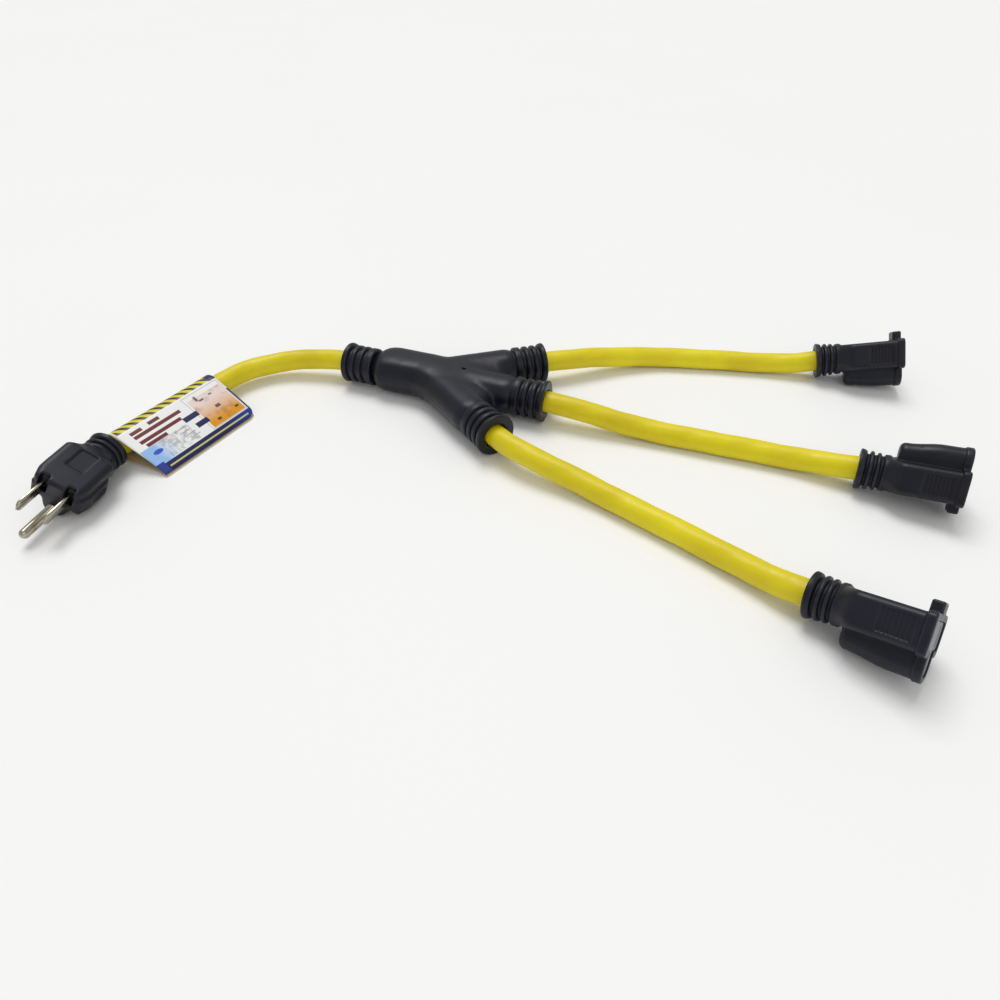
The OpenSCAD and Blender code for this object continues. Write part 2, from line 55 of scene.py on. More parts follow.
CABLE_D = 12.0
CABLE_R = CABLE_D / 2
POLE_Y = 6.35                 # half the distance between the two blades
BLADE_H, BLADE_T = 6.35, 1.52
GROUND_DROP, GROUND_R = 11.9, 2.375

# Splitter block
MID_Z = 12.0
INLET_X = -62.0
HUB_X = -10.0
OUTLET_ANGLE = 35.0
MIDDLE_REACH, OUTER_REACH = 72.0, 69.7
BLOCK_HALF_T = 11.2           # half the thickness of the flattened body
BLOCK_NECK = dict(collar_r=11.8, rib_r=10.9, waist_r=10.9, root_r=9.2, length=18.5)

# Outlet connectors: name, middle of the collar face, then yaw, pitch and roll
CONNECTORS = [
    ("left", (200.6, 101.7, 10.7), 10, -12, -31),
    ("centre", (223.8, -0.6, 10.5), -5.7, -6, 152.4),
    ("right", (205.1, -95.6, 10.7), -21, -13.4, -41.2),
]
CONN_LEN, CONN_W, CONN_T = 46.0, 26.0, 15.5
CONN_NECK = dict(collar_r=10.3, rib_r=9.9, waist_r=9.0, root_r=7.9, length=14.0)
SLOT_T, LINE_SLOT_H, NEUTRAL_SLOT_H = 2.2, 7.2, 8.6
GROUND_HOLE_R = 2.65

# Plug
PLUG_AT, PLUG_YAW, PLUG_PITCH, PLUG_ROLL = (-134.4, -118.8, 11.6), -82, -1.5, -30
PLUG_LEN, PLUG_W = 41.0, 25.0
PLUG_NECK = dict(collar_r=10.2, rib_r=9.8, waist_r=9.2, root_r=8.0, length=14.0)
BLADE_Z = 4.0
PLUG_TOP = BLADE_Z + 7
PLUG_GROUND_Z = BLADE_Z - GROUND_DROP
BLADE_REACH, GROUND_REACH = 15.9, 18.0
METAL_START = 28.0            # where the blades and the pin start inside the plug
PIN_STEM_R = 2.8              # of the pin inside the plug

# Card tag, folded round a straight stretch of the inlet cable
TAG_AT, TAG_HEADING, TAG_START = (-124, -49, 9.4), -99, -0.5
TAG_LEN, TAG_REACH, TAG_DROP = 65.0, 30.0, 8.4
LOOP_R, CARD_T, LEAF_GAP = 7.5, 0.4, 0.3

# Cable routes, from a collar of the block outwards
INLET_ROUTE = [
    (-62, 0, 12), (-70, -0.2, 11.8), (-77.5, -1.2, 11.3), (-85, -2.9, 10.8), (-92, -5, 10.2),
    (-98.7, -7.8, 9.6), (-104.9, -11.4, 9.1), (-110.4, -15.8, 8.7), (-115.1, -21.1, 8.6),
    (-118.9, -27.3, 8.7), (-121.6, -34.2, 8.8), (-123.2, -41.5, 8.9), (-124.3, -49, 9),
    (-127.1, -66, 9.1), (-129.9, -83, 9.1), (-132.2, -97, 9.2), (-133.7, -108, 9.6),
    (-134.4, -118.8, 11.6),
]
LEFT_ROUTE = [
    (47.1, 40, 12), (55.3, 45.7, 12), (66, 53.5, 11.2), (79, 63.5, 9.4), (92, 72, 7.6),
    (105, 79.2, 6.4), (119, 84, 6), (134, 88, 6), (147, 91.3, 6), (159, 94, 6),
    (170, 96.3, 6.2), (181, 98.4, 7), (191, 100, 8.5), (200.6, 101.7, 10.7),
]
CENTRE_ROUTE = [
    (62, 0, 12), (74, 0, 11.6), (86, 0, 10.4), (98, 0.5, 8.7), (110, 1, 7.2),
    (124, 1.5, 6.2), (138, 1.8, 6), (152, 2.2, 6), (166, 2.6, 6), (179, 2.8, 6),
    (191, 2.7, 6.3), (202, 2.1, 7.2), (213, 0.9, 8.8), (223.8, -0.6, 10.5),
]
RIGHT_ROUTE = [
    (47.1, -40, 12), (55.5, -44.8, 12), (65.5, -48.5, 11.4), (76.5, -51.2, 10.2),
    (88, -53.5, 8.7), (100, -56.3, 7.3), (112, -59.8, 6.3), (125, -64.2, 6),
    (137.4, -68.5, 6), (149, -72.7, 6), (160.5, -77, 6.1), (171.5, -81.5, 6.4),
    (182, -86, 7.1), (193, -91, 8.5), (205.1, -95.6, 10.7),
]


def heading(degrees):
    a = math.radians(degrees)
    return np.array([math.cos(a), math.sin(a), 0.0])


def outlet_face(side):
    """Middle of an outlet's collar face: side is 1 for left, 0 for centre, -1 for right."""
    reach = MIDDLE_REACH if side == 0 else OUTER_REACH
    return np.array([HUB_X, 0, MID_Z]) + reach * heading(side * OUTLET_ANGLE)


def placed(at, roll, pitch, yaw):
    """Matrix of a piece that is rolled, pitched and turned, then moved, in mm."""
    turn = Matrix.Rotation(math.radians(yaw), 4, "Z")
    turn = turn @ Matrix.Rotation(math.radians(pitch), 4, "Y")
    turn = turn @ Matrix.Rotation(math.radians(roll), 4, "X")
    return Matrix.Translation(Vector(at)) @ turn


PLUG_FRAME = placed(PLUG_AT, PLUG_ROLL, PLUG_PITCH, PLUG_YAW)
CONNECTOR_FRAMES = {c[0]: placed(c[1], c[4], c[3], c[2]) for c in CONNECTORS}

# ---------------------------------------------------------------- meshes


def add_piece(name, points, faces, material, body, frame_mm=None, attributes=None):
    """A mesh object from points in mm, riding on a body."""
    co = np.asarray(points, float)
    if frame_mm is not None:
        m = np.array(frame_mm)
        co = co @ m[:3, :3].T + m[:3, 3]
    mesh = bpy.data.meshes.new(name)
    mesh.from_pydata((co * MM).tolist(), [], [tuple(f) for f in faces])
    for key, values in (attributes or {}).items():
        values = np.asarray(values, np.float32)
        kind, field = ("FLOAT", "value") if values.ndim == 1 else ("FLOAT_VECTOR", "vector")
        mesh.attributes.new(key, kind, "POINT").data.foreach_set(field, values.ravel())
    mesh.validate()
    mesh.shade_smooth()
    mesh.materials.append(material)
    piece = bpy.data.objects.new(name, mesh)
    bpy.context.scene.collection.objects.link(piece)
    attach(piece, body)
    return piece


def ring_faces(rings, sides):
    """The quads of a bar that is made of rings of points, and its two end faces."""
    faces = [(i * sides + j, i * sides + (j + 1) % sides,
              (i + 1) * sides + (j + 1) % sides, (i + 1) * sides + j)
             for i in range(rings - 1) for j in range(sides)]
    faces.append(tuple(range(sides))[::-1])
    faces.append(tuple(range((rings - 1) * sides, rings * sides)))
    return faces


def surface_net(values, low, step):
    """Points and quads on the zero surface of a grid of distances."""
    shape = np.array(values.shape) - 1
    stride = np.array([shape[1] * shape[2], shape[2], 1])
    total = np.zeros((shape.prod(), 3))
    count = np.zeros(shape.prod())
    quads = []
    for axis in range(3):
        near = np.take(values, range(shape[axis]), axis)
        far = np.take(values, range(1, shape[axis] + 1), axis)
        at = np.argwhere((near < 0) != (far < 0))
        a, b = near[tuple(at.T)], far[tuple(at.T)]
        crossing = at.astype(float)
        crossing[:, axis] += a / (a - b)
        u, v = np.eye(3, dtype=int)[[(axis + 1) % 3, (axis + 2) % 3]]
        ring = np.stack([(at - du * u - dv * v) @ stride
                         for du, dv in ((1, 1), (0, 1), (0, 0), (1, 0))], 1)
        for cells in ring.T:
            count += np.bincount(cells, minlength=len(count))
            for k in range(3):
                total[:, k] += np.bincount(cells, crossing[:, k], len(count))
        ring[a >= 0] = ring[a >= 0, ::-1]
        quads.append(ring)
    used = np.flatnonzero(count)
    number = np.zeros(len(count), int)
    number[used] = np.arange(len(used))
    points = low + step * total[used] / count[used, None]
    return points, number[np.concatenate(quads)]


SLOPE_REACH = 0.05            # in mm, for the slope of a distance field
EDGE_REACH = 0.6              # in mm, for its bend, which finds edges and creases
FULL_BEND = 1.6               # the bend that counts as a sharp edge


def mesh_of_field(field, low, high, step):
    """Points, quads and an edge value from -1 in a crease to 1 on a sharp edge."""
    low = np.array(low, float)
    axes = [np.arange(a, b + step, step, dtype=np.float32) for a, b in zip(low, high)]
    points, quads = surface_net(field(*np.meshgrid(*axes, indexing="ij")), low, step)
    for _ in range(3):                       # slide each point onto the surface
        value = field(*points.T)
        slope = np.stack([field(*(points + SLOPE_REACH * d).T)
                          - field(*(points - SLOPE_REACH * d).T)
                          for d in np.eye(3)], 1) / (2 * SLOPE_REACH)
        move = -(value / np.maximum((slope ** 2).sum(1), 0.05))[:, None] * slope
        points = points + np.clip(move, -0.4 * step, 0.4 * step)
    around = sum(field(*(points + s * EDGE_REACH * d).T) for d in np.eye(3) for s in (-1, 1))
    bend = (around - 6 * field(*points.T)) / EDGE_REACH ** 2
    return points, quads, np.clip(bend / FULL_BEND, -1, 1)


def smooth_min(a, b, k):
    """The union of two distances, with a fillet about k wide."""
    h = np.clip(0.5 + 0.5 * (b - a) / k, 0, 1)
    return b + (a - b) * h - k * h * (1 - h)


def smooth_max(a, b, k):
    """The overlap of two distances, with an edge rounded about k wide."""
    return -smooth_min(-a, -b, k)


def smooth_step(x, x0, x1):
    t = np.clip((x - x0) / (x1 - x0), 0, 1)
    return t * t * (3 - 2 * t)


def box_2d(x, y, half_x, half_y, corner):
    qx, qy = np.abs(x) - half_x + corner, np.abs(y) - half_y + corner
    outside = np.hypot(np.maximum(qx, 0), np.maximum(qy, 0))
    return outside + np.minimum(np.maximum(qx, qy), 0) - corner


def box_3d(x, y, z, half, corner):
    q = [np.abs(v) - h + corner for v, h in zip((x, y, z), half)]
    outside = np.sqrt(sum(np.maximum(v, 0) ** 2 for v in q))
    return outside + np.minimum(np.maximum(np.maximum(q[0], q[1]), q[2]), 0) - corner


def rod(x, y, z, start, end, r0, r1):
    """A round bar with ball ends, from radius r0 to radius r1."""
    a, b = np.array(start, float), np.array(end, float) - start
    t = ((x - a[0]) * b[0] + (y - a[1]) * b[1] + (z - a[2]) * b[2]) / (b @ b)
    t = np.clip(t, 0, 1)
    away = np.sqrt((x - a[0] - t * b[0]) ** 2 + (y - a[1] - t * b[1]) ** 2
                   + (z - a[2] - t * b[2]) ** 2)
    return away - (r0 + t * (r1 - r0))


def egg(x, y, z, centre, radii):
    """An ellipsoid."""
    q = [(v - c) / r for v, c, r in zip((x, y, z), centre, radii)]
    k0 = np.sqrt(sum(v ** 2 for v in q))
    k1 = np.sqrt(sum((v / r) ** 2 for v, r in zip(q, radii)))
    return k0 * (k0 - 1) / np.maximum(k1, 1e-6)


COLLAR_W, RIB_COUNT, RIB_PITCH = 3.0, 3, 4.67
GROOVE = 0.42                 # of a rib's pitch
MOUTH_DEPTH, BORE_DEPTH = 1.3, 4.0


def ribbed_neck(u, rho, collar_r, rib_r, waist_r, root_r, length, pitch=RIB_PITCH):
    """A neck of revolution: u is the depth behind the collar face, rho the radius.
    Ribs go from rib_r next to the collar to waist_r at the far end."""
    shape = box_2d(u - length / 2, rho, length / 2, root_r, 0.5)
    flare = collar_r - 0.25 * np.clip(u, 0, COLLAR_W)
    shape = smooth_min(shape, box_2d(u - COLLAR_W / 2, rho, COLLAR_W / 2, flare, 0.9), 0.5)
    for i in range(RIB_COUNT):
        r = rib_r + (waist_r - rib_r) * (i + 1) / RIB_COUNT
        start = COLLAR_W + (i + GROOVE) * pitch
        end = COLLAR_W + (i + 1) * pitch if i < RIB_COUNT - 1 else length
        rib = box_2d(u - (start + end) / 2, rho, (end - start) / 2, r, 0.9)
        shape = smooth_min(shape, rib, 0.4)
    mouth = rho - (CABLE_R + 0.15 + np.clip(MOUTH_DEPTH - u, 0, 9) * 0.75)
    bore = np.maximum(mouth, u - BORE_DEPTH)
    return smooth_max(shape, -bore, 0.3)


# ---------------------------------------------------------------- shaders


class Shader:
    """A material with a Principled surface, and short calls to add nodes to it."""

    def __init__(self, name, **surface):
        self.material = bpy.data.materials.new(name)
        self.material.use_nodes = True
        self.tree = self.material.node_tree
        self.surface = self.tree.nodes["Principled BSDF"]
        self.set(**surface)
        self.where = self.node("ShaderNodeTexCoord").outputs["Object"]

    def feed(self, socket, value):
        if isinstance(value, bpy.types.NodeSocket):
            self.tree.links.new(value, socket)
        elif socket.type == "RGBA" and len(value) == 3:
            socket.default_value = (*value, 1)
        else:
            socket.default_value = value

    def node(self, kind, inputs=(), **settings):
        node = self.tree.nodes.new(kind)
        for key, value in settings.items():
            setattr(node, key, value)
        for key, value in dict(inputs).items():
            self.feed(node.inputs[key], value)
        return node

    def set(self, **surface):
        for key, value in surface.items():
            self.feed(self.surface.inputs[key.replace("_", " ").title()
                                          .replace("Ior", "IOR")], value)

    def math(self, operation, a, b=0.0):
        node = self.node("ShaderNodeMath", operation=operation)
        for socket, value in zip(node.inputs, (a, b)):
            self.feed(socket, value)
        return node.outputs[0]

    def noise(self, scale, detail=2.0, vector=None):
        inputs = {"Vector": vector or self.where, "Scale": scale, "Detail": detail}
        return self.node("ShaderNodeTexNoise", inputs).outputs[0]

    def attribute(self, name, output="Fac"):
        return self.node("ShaderNodeAttribute", attribute_name=name).outputs[output]

    def split(self, vector):
        return self.node("ShaderNodeSeparateXYZ", {"Vector": vector}).outputs[:3]

    def box(self, u, v, u0, u1, v0, v1, soft=0.12):
        """1 inside a rectangle in u and v, 0 outside it."""
        share = 1.0
        for value, low, high in ((u, u0, u1), (v, v0, v1)):
            share = self.math("MULTIPLY", share, self.ramp(value, low - soft, low + soft))
            share = self.math("MULTIPLY", share, self.ramp(value, high + soft, high - soft))
        return share

    def ramp(self, value, low, high, to_low=0.0, to_high=1.0):
        inputs = {"Value": value, "From Min": low, "From Max": high,
                  "To Min": to_low, "To Max": to_high}
        return self.node("ShaderNodeMapRange", inputs).outputs[0]

    def mix(self, share, a, b):
        node = self.node("ShaderNodeMix", data_type="RGBA")
        for socket, value in zip((node.inputs[0], node.inputs[6], node.inputs[7]),
                                 (share, a, b)):
            self.feed(socket, value)
        return node.outputs[2]

    def bump(self, height, distance, strength):
        inputs = {"Height": height, "Distance": distance, "Strength": strength}
        return self.node("ShaderNodeBump", inputs).outputs[0]


def srgb(code):
    """The linear colour of a hex code."""
    parts = [int(code[i:i + 2], 16) / 255 for i in (1, 3, 5)]
    return tuple(p / 12.92 if p <= 0.04045 else ((p + 0.055) / 1.055) ** 2.4 for p in parts)


def moulded(name, dark, light, worn, roughness, grain_mm=0.05):
    """Moulded plastic with a spark-eroded grain, cloudy tone, rubbed edges and painted shade
    darkening its creases.
    """
    s = Shader(name, specular_ior_level=0.32)
    clouds = s.noise(38, 3)
    grain = s.noise(1500, 3)
    blotches = s.noise(170, 4)
    colour = s.mix(s.ramp(clouds, 0.35, 0.65), srgb(dark), srgb(light))
    edge = s.attribute("edge")
    rubbed = s.math("MULTIPLY", s.ramp(edge, 0.25, 0.95), s.ramp(blotches, 0.38, 0.72))
    colour = s.mix(s.math("MULTIPLY", rubbed, 0.5), colour, srgb(worn))
    # painted shade: creases (negative edge) are darkened towards near-black
    colour = s.mix(s.ramp(edge, -0.15, -0.8, 0, 0.75), colour, srgb("#060608"))
    s.set(base_color=colour)
    rough = s.math("ADD", s.ramp(blotches, 0.3, 0.7, roughness - 0.05, roughness + 0.07),
                   s.math("MULTIPLY", s.ramp(edge, 0, -0.8), 0.18))
    s.set(roughness=rough)
    s.set(normal=s.bump(s.math("ADD", grain, s.math("MULTIPLY", blotches, 0.8)),
                        grain_mm * MM, 0.6))
    return s.material


def jacket(name, colour, deep, roughness):
    """A drawn cable jacket: fine lines along it, orange peel and a little talc."""
    s = Shader(name, specular_ior_level=0.4)
    drawn = s.attribute("drawn", "Vector")
    lines = s.noise(9, 4, drawn)
    peel = s.noise(420, 2)
    clouds = s.noise(30, 3)
    tone = s.mix(s.ramp(clouds, 0.35, 0.7), srgb(colour), srgb(deep))
    tone = s.mix(s.math("MULTIPLY", s.ramp(lines, 0.55, 0.8), 0.25), tone, srgb(deep))
    s.set(base_color=tone)
    s.set(roughness=s.ramp(peel, 0.3, 0.7, roughness - 0.06, roughness + 0.08))
    height = s.math("ADD", s.math("MULTIPLY", lines, 0.8), peel)
    s.set(normal=s.bump(height, 0.09 * MM, 0.5))
    return s.material


def metal(name, colour, stain, roughness):
    """Plated or plain sheet metal with brushed lines and a faint stain."""
    s = Shader(name, metallic=1.0)
    brushed = s.node("ShaderNodeMapping", {"Vector": s.where, "Scale": (1, 0.05, 1)})
    lines = s.noise(2600, 3, brushed.outputs[0])
    stains = s.noise(160, 4)
    s.set(base_color=s.mix(s.ramp(stains, 0.5, 0.75), srgb(colour), srgb(stain)))
    s.set(roughness=s.ramp(lines, 0.3, 0.7, roughness - 0.06, roughness + 0.1))
    s.set(normal=s.bump(lines, 0.01 * MM, 0.5))
    return s.material


BLACK_PVC = moulded("black_pvc", "#0f101a", "#171926", "#3a3d4e", 0.38)
# grey face: partly the insert's own tone, partly lightened as a painted reflection of the white
# surround
INSERT = moulded("outlet_insert", "#7f828a", "#8f929a", "#b0b3ba", 0.5)
NYLON = moulded("nylon_insert", "#36383e", "#404248", "#5c5e66", 0.5)
YELLOW = jacket("yellow_jacket", "#e9da08", "#d8c306", 0.42)
BLACK_WIRE = jacket("black_insulation", "#151515", "#1e1e1f", 0.45)
WHITE_WIRE = jacket("white_insulation", "#e6e6dd", "#d8d8cc", 0.45)
GREEN_WIRE = jacket("green_insulation", "#1f7a3a", "#186630", 0.45)
PLATED = metal("plated_blade", "#b3ad9c", "#857a5e", 0.2)
BRASS = metal("contact_brass", "#c9a860", "#a07f3d", 0.34)

# ---------------------------------------------------------------- cables


def smooth_path(route, spacing=1.0):
    """The route as an even line of points: a Catmull-Rom curve through them."""
    p = np.array(route, float)
    p = np.vstack([2 * p[0] - p[1], p, 2 * p[-1] - p[-2]])
    line = []
    for a, b, c, d in zip(p, p[1:], p[2:], p[3:]):
        for t in np.arange(0, 1, 0.05):
            line.append(0.5 * (2 * b + (c - a) * t + (2 * a - 5 * b + 4 * c - d) * t * t
                               + (3 * b - a - 3 * c + d) * t ** 3))
    line = np.array(line + [p[-2]])
    run = np.r_[0, np.cumsum(np.linalg.norm(np.diff(line, axis=0), axis=1))]
    even = np.linspace(0, run[-1], int(run[-1] / spacing) + 1)
    return np.stack([np.interp(even, run, line[:, k]) for k in range(3)], 1), even


INTO_COLLAR = 3.0             # how far a cable reaches into a collar
TWIST_LENGTH = 85.0           # one turn of the three conductors under the jacket
TWIST_DEPTH = 0.22
CABLE_SIDES = 48
LAY_SCALE = 60                # mm of cable for one step of the drawn lines' noise


def cable(name, route, node, phase):
    """A jacketed cable along a route, faintly three-lobed from its twisted conductors."""
    line = np.array(route, float)
    start = line[0] + INTO_COLLAR * (line[0] - line[1]) / np.linalg.norm(line[0] - line[1])
    end = line[-1] + INTO_COLLAR * (line[-1] - line[-2]) / np.linalg.norm(line[-1] - line[-2])
    path, run = smooth_path([start, *line, end])
    along = np.gradient(path, axis=0)
    along /= np.linalg.norm(along, axis=1)[:, None]
    across = np.cross(along, [0, 0, 1.0])
    across /= np.linalg.norm(across, axis=1)[:, None]
    upward = np.cross(across, along)
    sides = CABLE_SIDES
    angle = 2 * math.pi * np.arange(sides) / sides
    turn = 2 * math.pi * run / TWIST_LENGTH + phase
    lobes = 0.5 - 0.5 * np.cos(3 * (angle[None, :] - turn[:, None]))
    radius = CABLE_R - TWIST_DEPTH * lobes ** 2
    ring = (np.cos(angle)[None, :, None] * across[:, None]
            + np.sin(angle)[None, :, None] * upward[:, None])
    points = (path[:, None] + radius[..., None] * ring).reshape(-1, 3)
    drawn = np.stack(np.broadcast_arrays(np.cos(angle)[None, :], np.sin(angle)[None, :],
                                         run[:, None] / LAY_SCALE), 2).reshape(-1, 3)
    piece = add_piece(name, points, ring_faces(len(path), sides), YELLOW, CORD_BODY,
                      attributes={"drawn": drawn})
    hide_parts(node)
    return piece, path * MM, run[-1] * MM


# ---------------------------------------------------------------- splitter block


def at_outlet(x, y, side):
    """Depth behind an outlet's collar face, and the distance across its axis."""
    face, back = outlet_face(side), -heading(side * OUTLET_ANGLE)
    dx, dy = x - face[0], y - face[1]
    return dx * back[0] + dy * back[1], dy * back[0] - dx * back[1]


def block_field(x, y, z):
    """The splitter block: a trunk, three arms, two webs between them and four necks."""
    # the trunk and its shoulder, slightly flatter than round
    flat = (z - MID_Z) / 0.92
    trunk = rod(x, y, flat, (-31, 1.6, 0), (-12, 1.8, 0), 14.2, 14.0)
    shoulder = egg(x, y, flat, (-35.5, 1.2, 0), (8.2, 14.4, 12.4))
    body = smooth_min(trunk, shoulder, 2)
    # an arm to each outlet, and a web in each outer fork
    for side in (1, 0, -1):
        inner = outlet_face(side) - (BLOCK_NECK["length"] + 6) * heading(side * OUTLET_ANGLE)
        arm = rod(x, y, flat, (HUB_X + 4, side * 2, 0), (inner[0], inner[1], 0), 11.4, 11.3)
        body = smooth_min(body, arm, 4.5)
    for side in (1, -1):
        web = rod(x, y, (z - MID_Z) / 0.9, (8, side * 4, 0), (26, side * 14.5, 0), 10, 8)
        body = smooth_min(body, web, 4)
    flat_top = np.abs(z - MID_Z) - BLOCK_HALF_T
    body = smooth_max(body, flat_top, 3)
    necks = ribbed_neck(x - INLET_X, np.hypot(y, z - MID_Z), **BLOCK_NECK)
    for side in (1, 0, -1):
        u, v = at_outlet(x, y, side)
        necks = np.minimum(necks, ribbed_neck(u, np.hypot(v, z - MID_Z), **BLOCK_NECK))
    body = smooth_min(body, necks, 0.7)
    seam = np.exp(-((z - MID_Z) / 0.45) ** 2)      # the raised parting line
    body = body - 0.12 * seam
    # a locating-pin hole in the middle, and two shallow marks
    hole = rod(x, y, z, (12, 1.5, 17), (12, 1.5, 26), 1.1, 1.1)
    body = smooth_max(body, -hole, 0.4)
    for px, py in ((-27, 12), (11, 22.5)):
        mark = rod(x, y, z, (px, py, 18), (px, py, 24), 0.9, 0.9)
        body = smooth_max(body, -mark, 0.4)
    return body


def make_block():
    points, quads, edge = mesh_of_field(block_field, (-64, -54, -1.5), (64, 54, 25),
                                        BLOCK_GRID)
    block = add_piece("block_skin", points, quads, BLACK_PVC, CORD_BODY,
                      attributes={"edge": edge})
    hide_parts("block_overmould")


# ---------------------------------------------------------------- connectors


def outlet_section(y, z, half_w, half_t, lobe_z, lobe_r):
    """The T section of an outlet: a slab for the slots and a lobe for the ground."""
    slab = box_2d(y, z, half_w, half_t, 2.6)
    lobe = np.hypot(y, z - lobe_z) - lobe_r
    stem = box_2d(y, z - lobe_z / 2, lobe_r, -lobe_z / 2, 0.3)
    return smooth_min(slab, smooth_min(lobe, stem, 0.3), 1.0)


CARRIER_X = 25.0              # where the hard insert starts
POCKET_HALF_W, POCKET_HALF_T, POCKET_LOBE_R = 11.0, CONN_T / 2 - 2, 4.4
INSERT_GAP = 0.06             # between the insert and the pocket
SLOT_DEPTH = 12.0
NOSE_X = 15.8                 # where the lobe round the ground contact starts
PANEL_X, PANEL_PITCH = 34.0, 1.7


def connector_field(x, y, z):
    """An outlet connector: x is the distance from its collar face, z points up."""
    rho = np.hypot(y, z)
    # the slab round the slots grows out of the neck
    grow = smooth_step(x, 9, 20)
    slab = box_2d(y, z, 8.2 + (CONN_W / 2 - 8.2) * grow, 8.0 + (CONN_T / 2 - 8.0) * grow,
                  8.0 - 5.0 * grow)
    slab = smooth_max(slab, np.abs(x - (CONN_LEN + 11) / 2) - (CONN_LEN - 11) / 2, 0.8)
    # the bullet-nosed lobe round the ground contact
    deeper = smooth_step(x, 19, 34)
    lobe_z, lobe_r = -10.9 - 1.2 * deeper, 5.3 + 0.6 * deeper
    lobe = np.hypot(y, z - lobe_z) - lobe_r
    stem = box_2d(y, z - lobe_z / 2, lobe_r, -lobe_z / 2, 0.3)
    lobe = smooth_min(lobe, stem, 0.3)
    lobe = smooth_max(lobe, NOSE_X - x, 3.2)
    lobe = smooth_max(lobe, x - CONN_LEN, 0.6)
    body = smooth_min(slab, lobe, 0.7)
    # a finely ribbed panel on each side
    for side in (-1, 1):
        ribs = 0.12 * np.cos(2 * math.pi * (x - PANEL_X) / PANEL_PITCH)
        panel = box_3d(x - PANEL_X, y - side * CONN_W / 2, z, (6.2, 0.5 + ribs, 4.9), 0.2)
        body = smooth_max(body, -panel, 0.3)
    # the flange at the face, with a tab on top
    flange = outlet_section(y, z, CONN_W / 2 + 0.8, CONN_T / 2 + 0.8, -GROUND_DROP, 6.7)
    flange = smooth_max(flange, np.abs(x - (CONN_LEN - 1.7)) - 1.7, 0.7)
    body = smooth_min(body, flange, 0.5)
    tab = box_3d(x - (CONN_LEN - 2.3), y, z - CONN_T / 2 - 2.4, (2.3, 4.5, 2.8), 0.9)
    body = smooth_min(body, tab, 0.5)
    neck = ribbed_neck(x, rho, pitch=3.2, **CONN_NECK)
    body = smooth_min(body, neck, 0.8)
    # the pocket that holds the hard insert
    pocket = outlet_section(y, z, POCKET_HALF_W, POCKET_HALF_T, -GROUND_DROP, POCKET_LOBE_R)
    pocket = np.maximum(pocket, CARRIER_X - x)
    return smooth_max(body, -pocket, 0.3)


def carrier_field(x, y, z):
    """The hard insert that forms an outlet's face, with two slots and a round hole."""
    body = outlet_section(y, z, POCKET_HALF_W - INSERT_GAP, POCKET_HALF_T - INSERT_GAP,
                          -GROUND_DROP, POCKET_LOBE_R - INSERT_GAP)
    front = CONN_LEN - 0.5
    body = smooth_max(body, np.abs(x - (CARRIER_X + front) / 2) - (front - CARRIER_X) / 2, 0.4)
    lead = np.clip(x - (front - 0.8), 0, 1) * 0.7
    for side, height in ((1, LINE_SLOT_H), (-1, NEUTRAL_SLOT_H)):
        slot = box_2d(y - side * POLE_Y, z, SLOT_T / 2 + lead, height / 2 + lead, 0.3)
        slot = np.maximum(slot, front - SLOT_DEPTH - x)
        body = smooth_max(body, -slot, 0.25)
    hole = np.hypot(y, z + GROUND_DROP) - GROUND_HOLE_R - lead
    hole = np.maximum(hole, front - SLOT_DEPTH - x)
    return smooth_max(body, -hole, 0.25)


def make_connectors():
    skin = mesh_of_field(connector_field, (-1.5, -15.5, -20), (47.5, 15.5, 15), OUTLET_GRID)
    insert = mesh_of_field(carrier_field, (24, -12, -17.5), (47, 12, 7.5), INSERT_GRID)
    made = {}
    for name, place in CONNECTOR_FRAMES.items():
        body = add_piece(f"{name}_outlet_skin", skin[0], skin[1], BLACK_PVC, CORD_BODY,
                         place, {"edge": skin[2]})
        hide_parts(f"{name}_connector_body")
        face = add_piece(f"{name}_outlet_insert", insert[0], insert[1], INSERT, CORD_BODY,
                         place, {"edge": insert[2]})
        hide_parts(f"{name}_contact_carrier")
        made[name] = [body, face]
    return made


# ---------------------------------------------------------------- plug


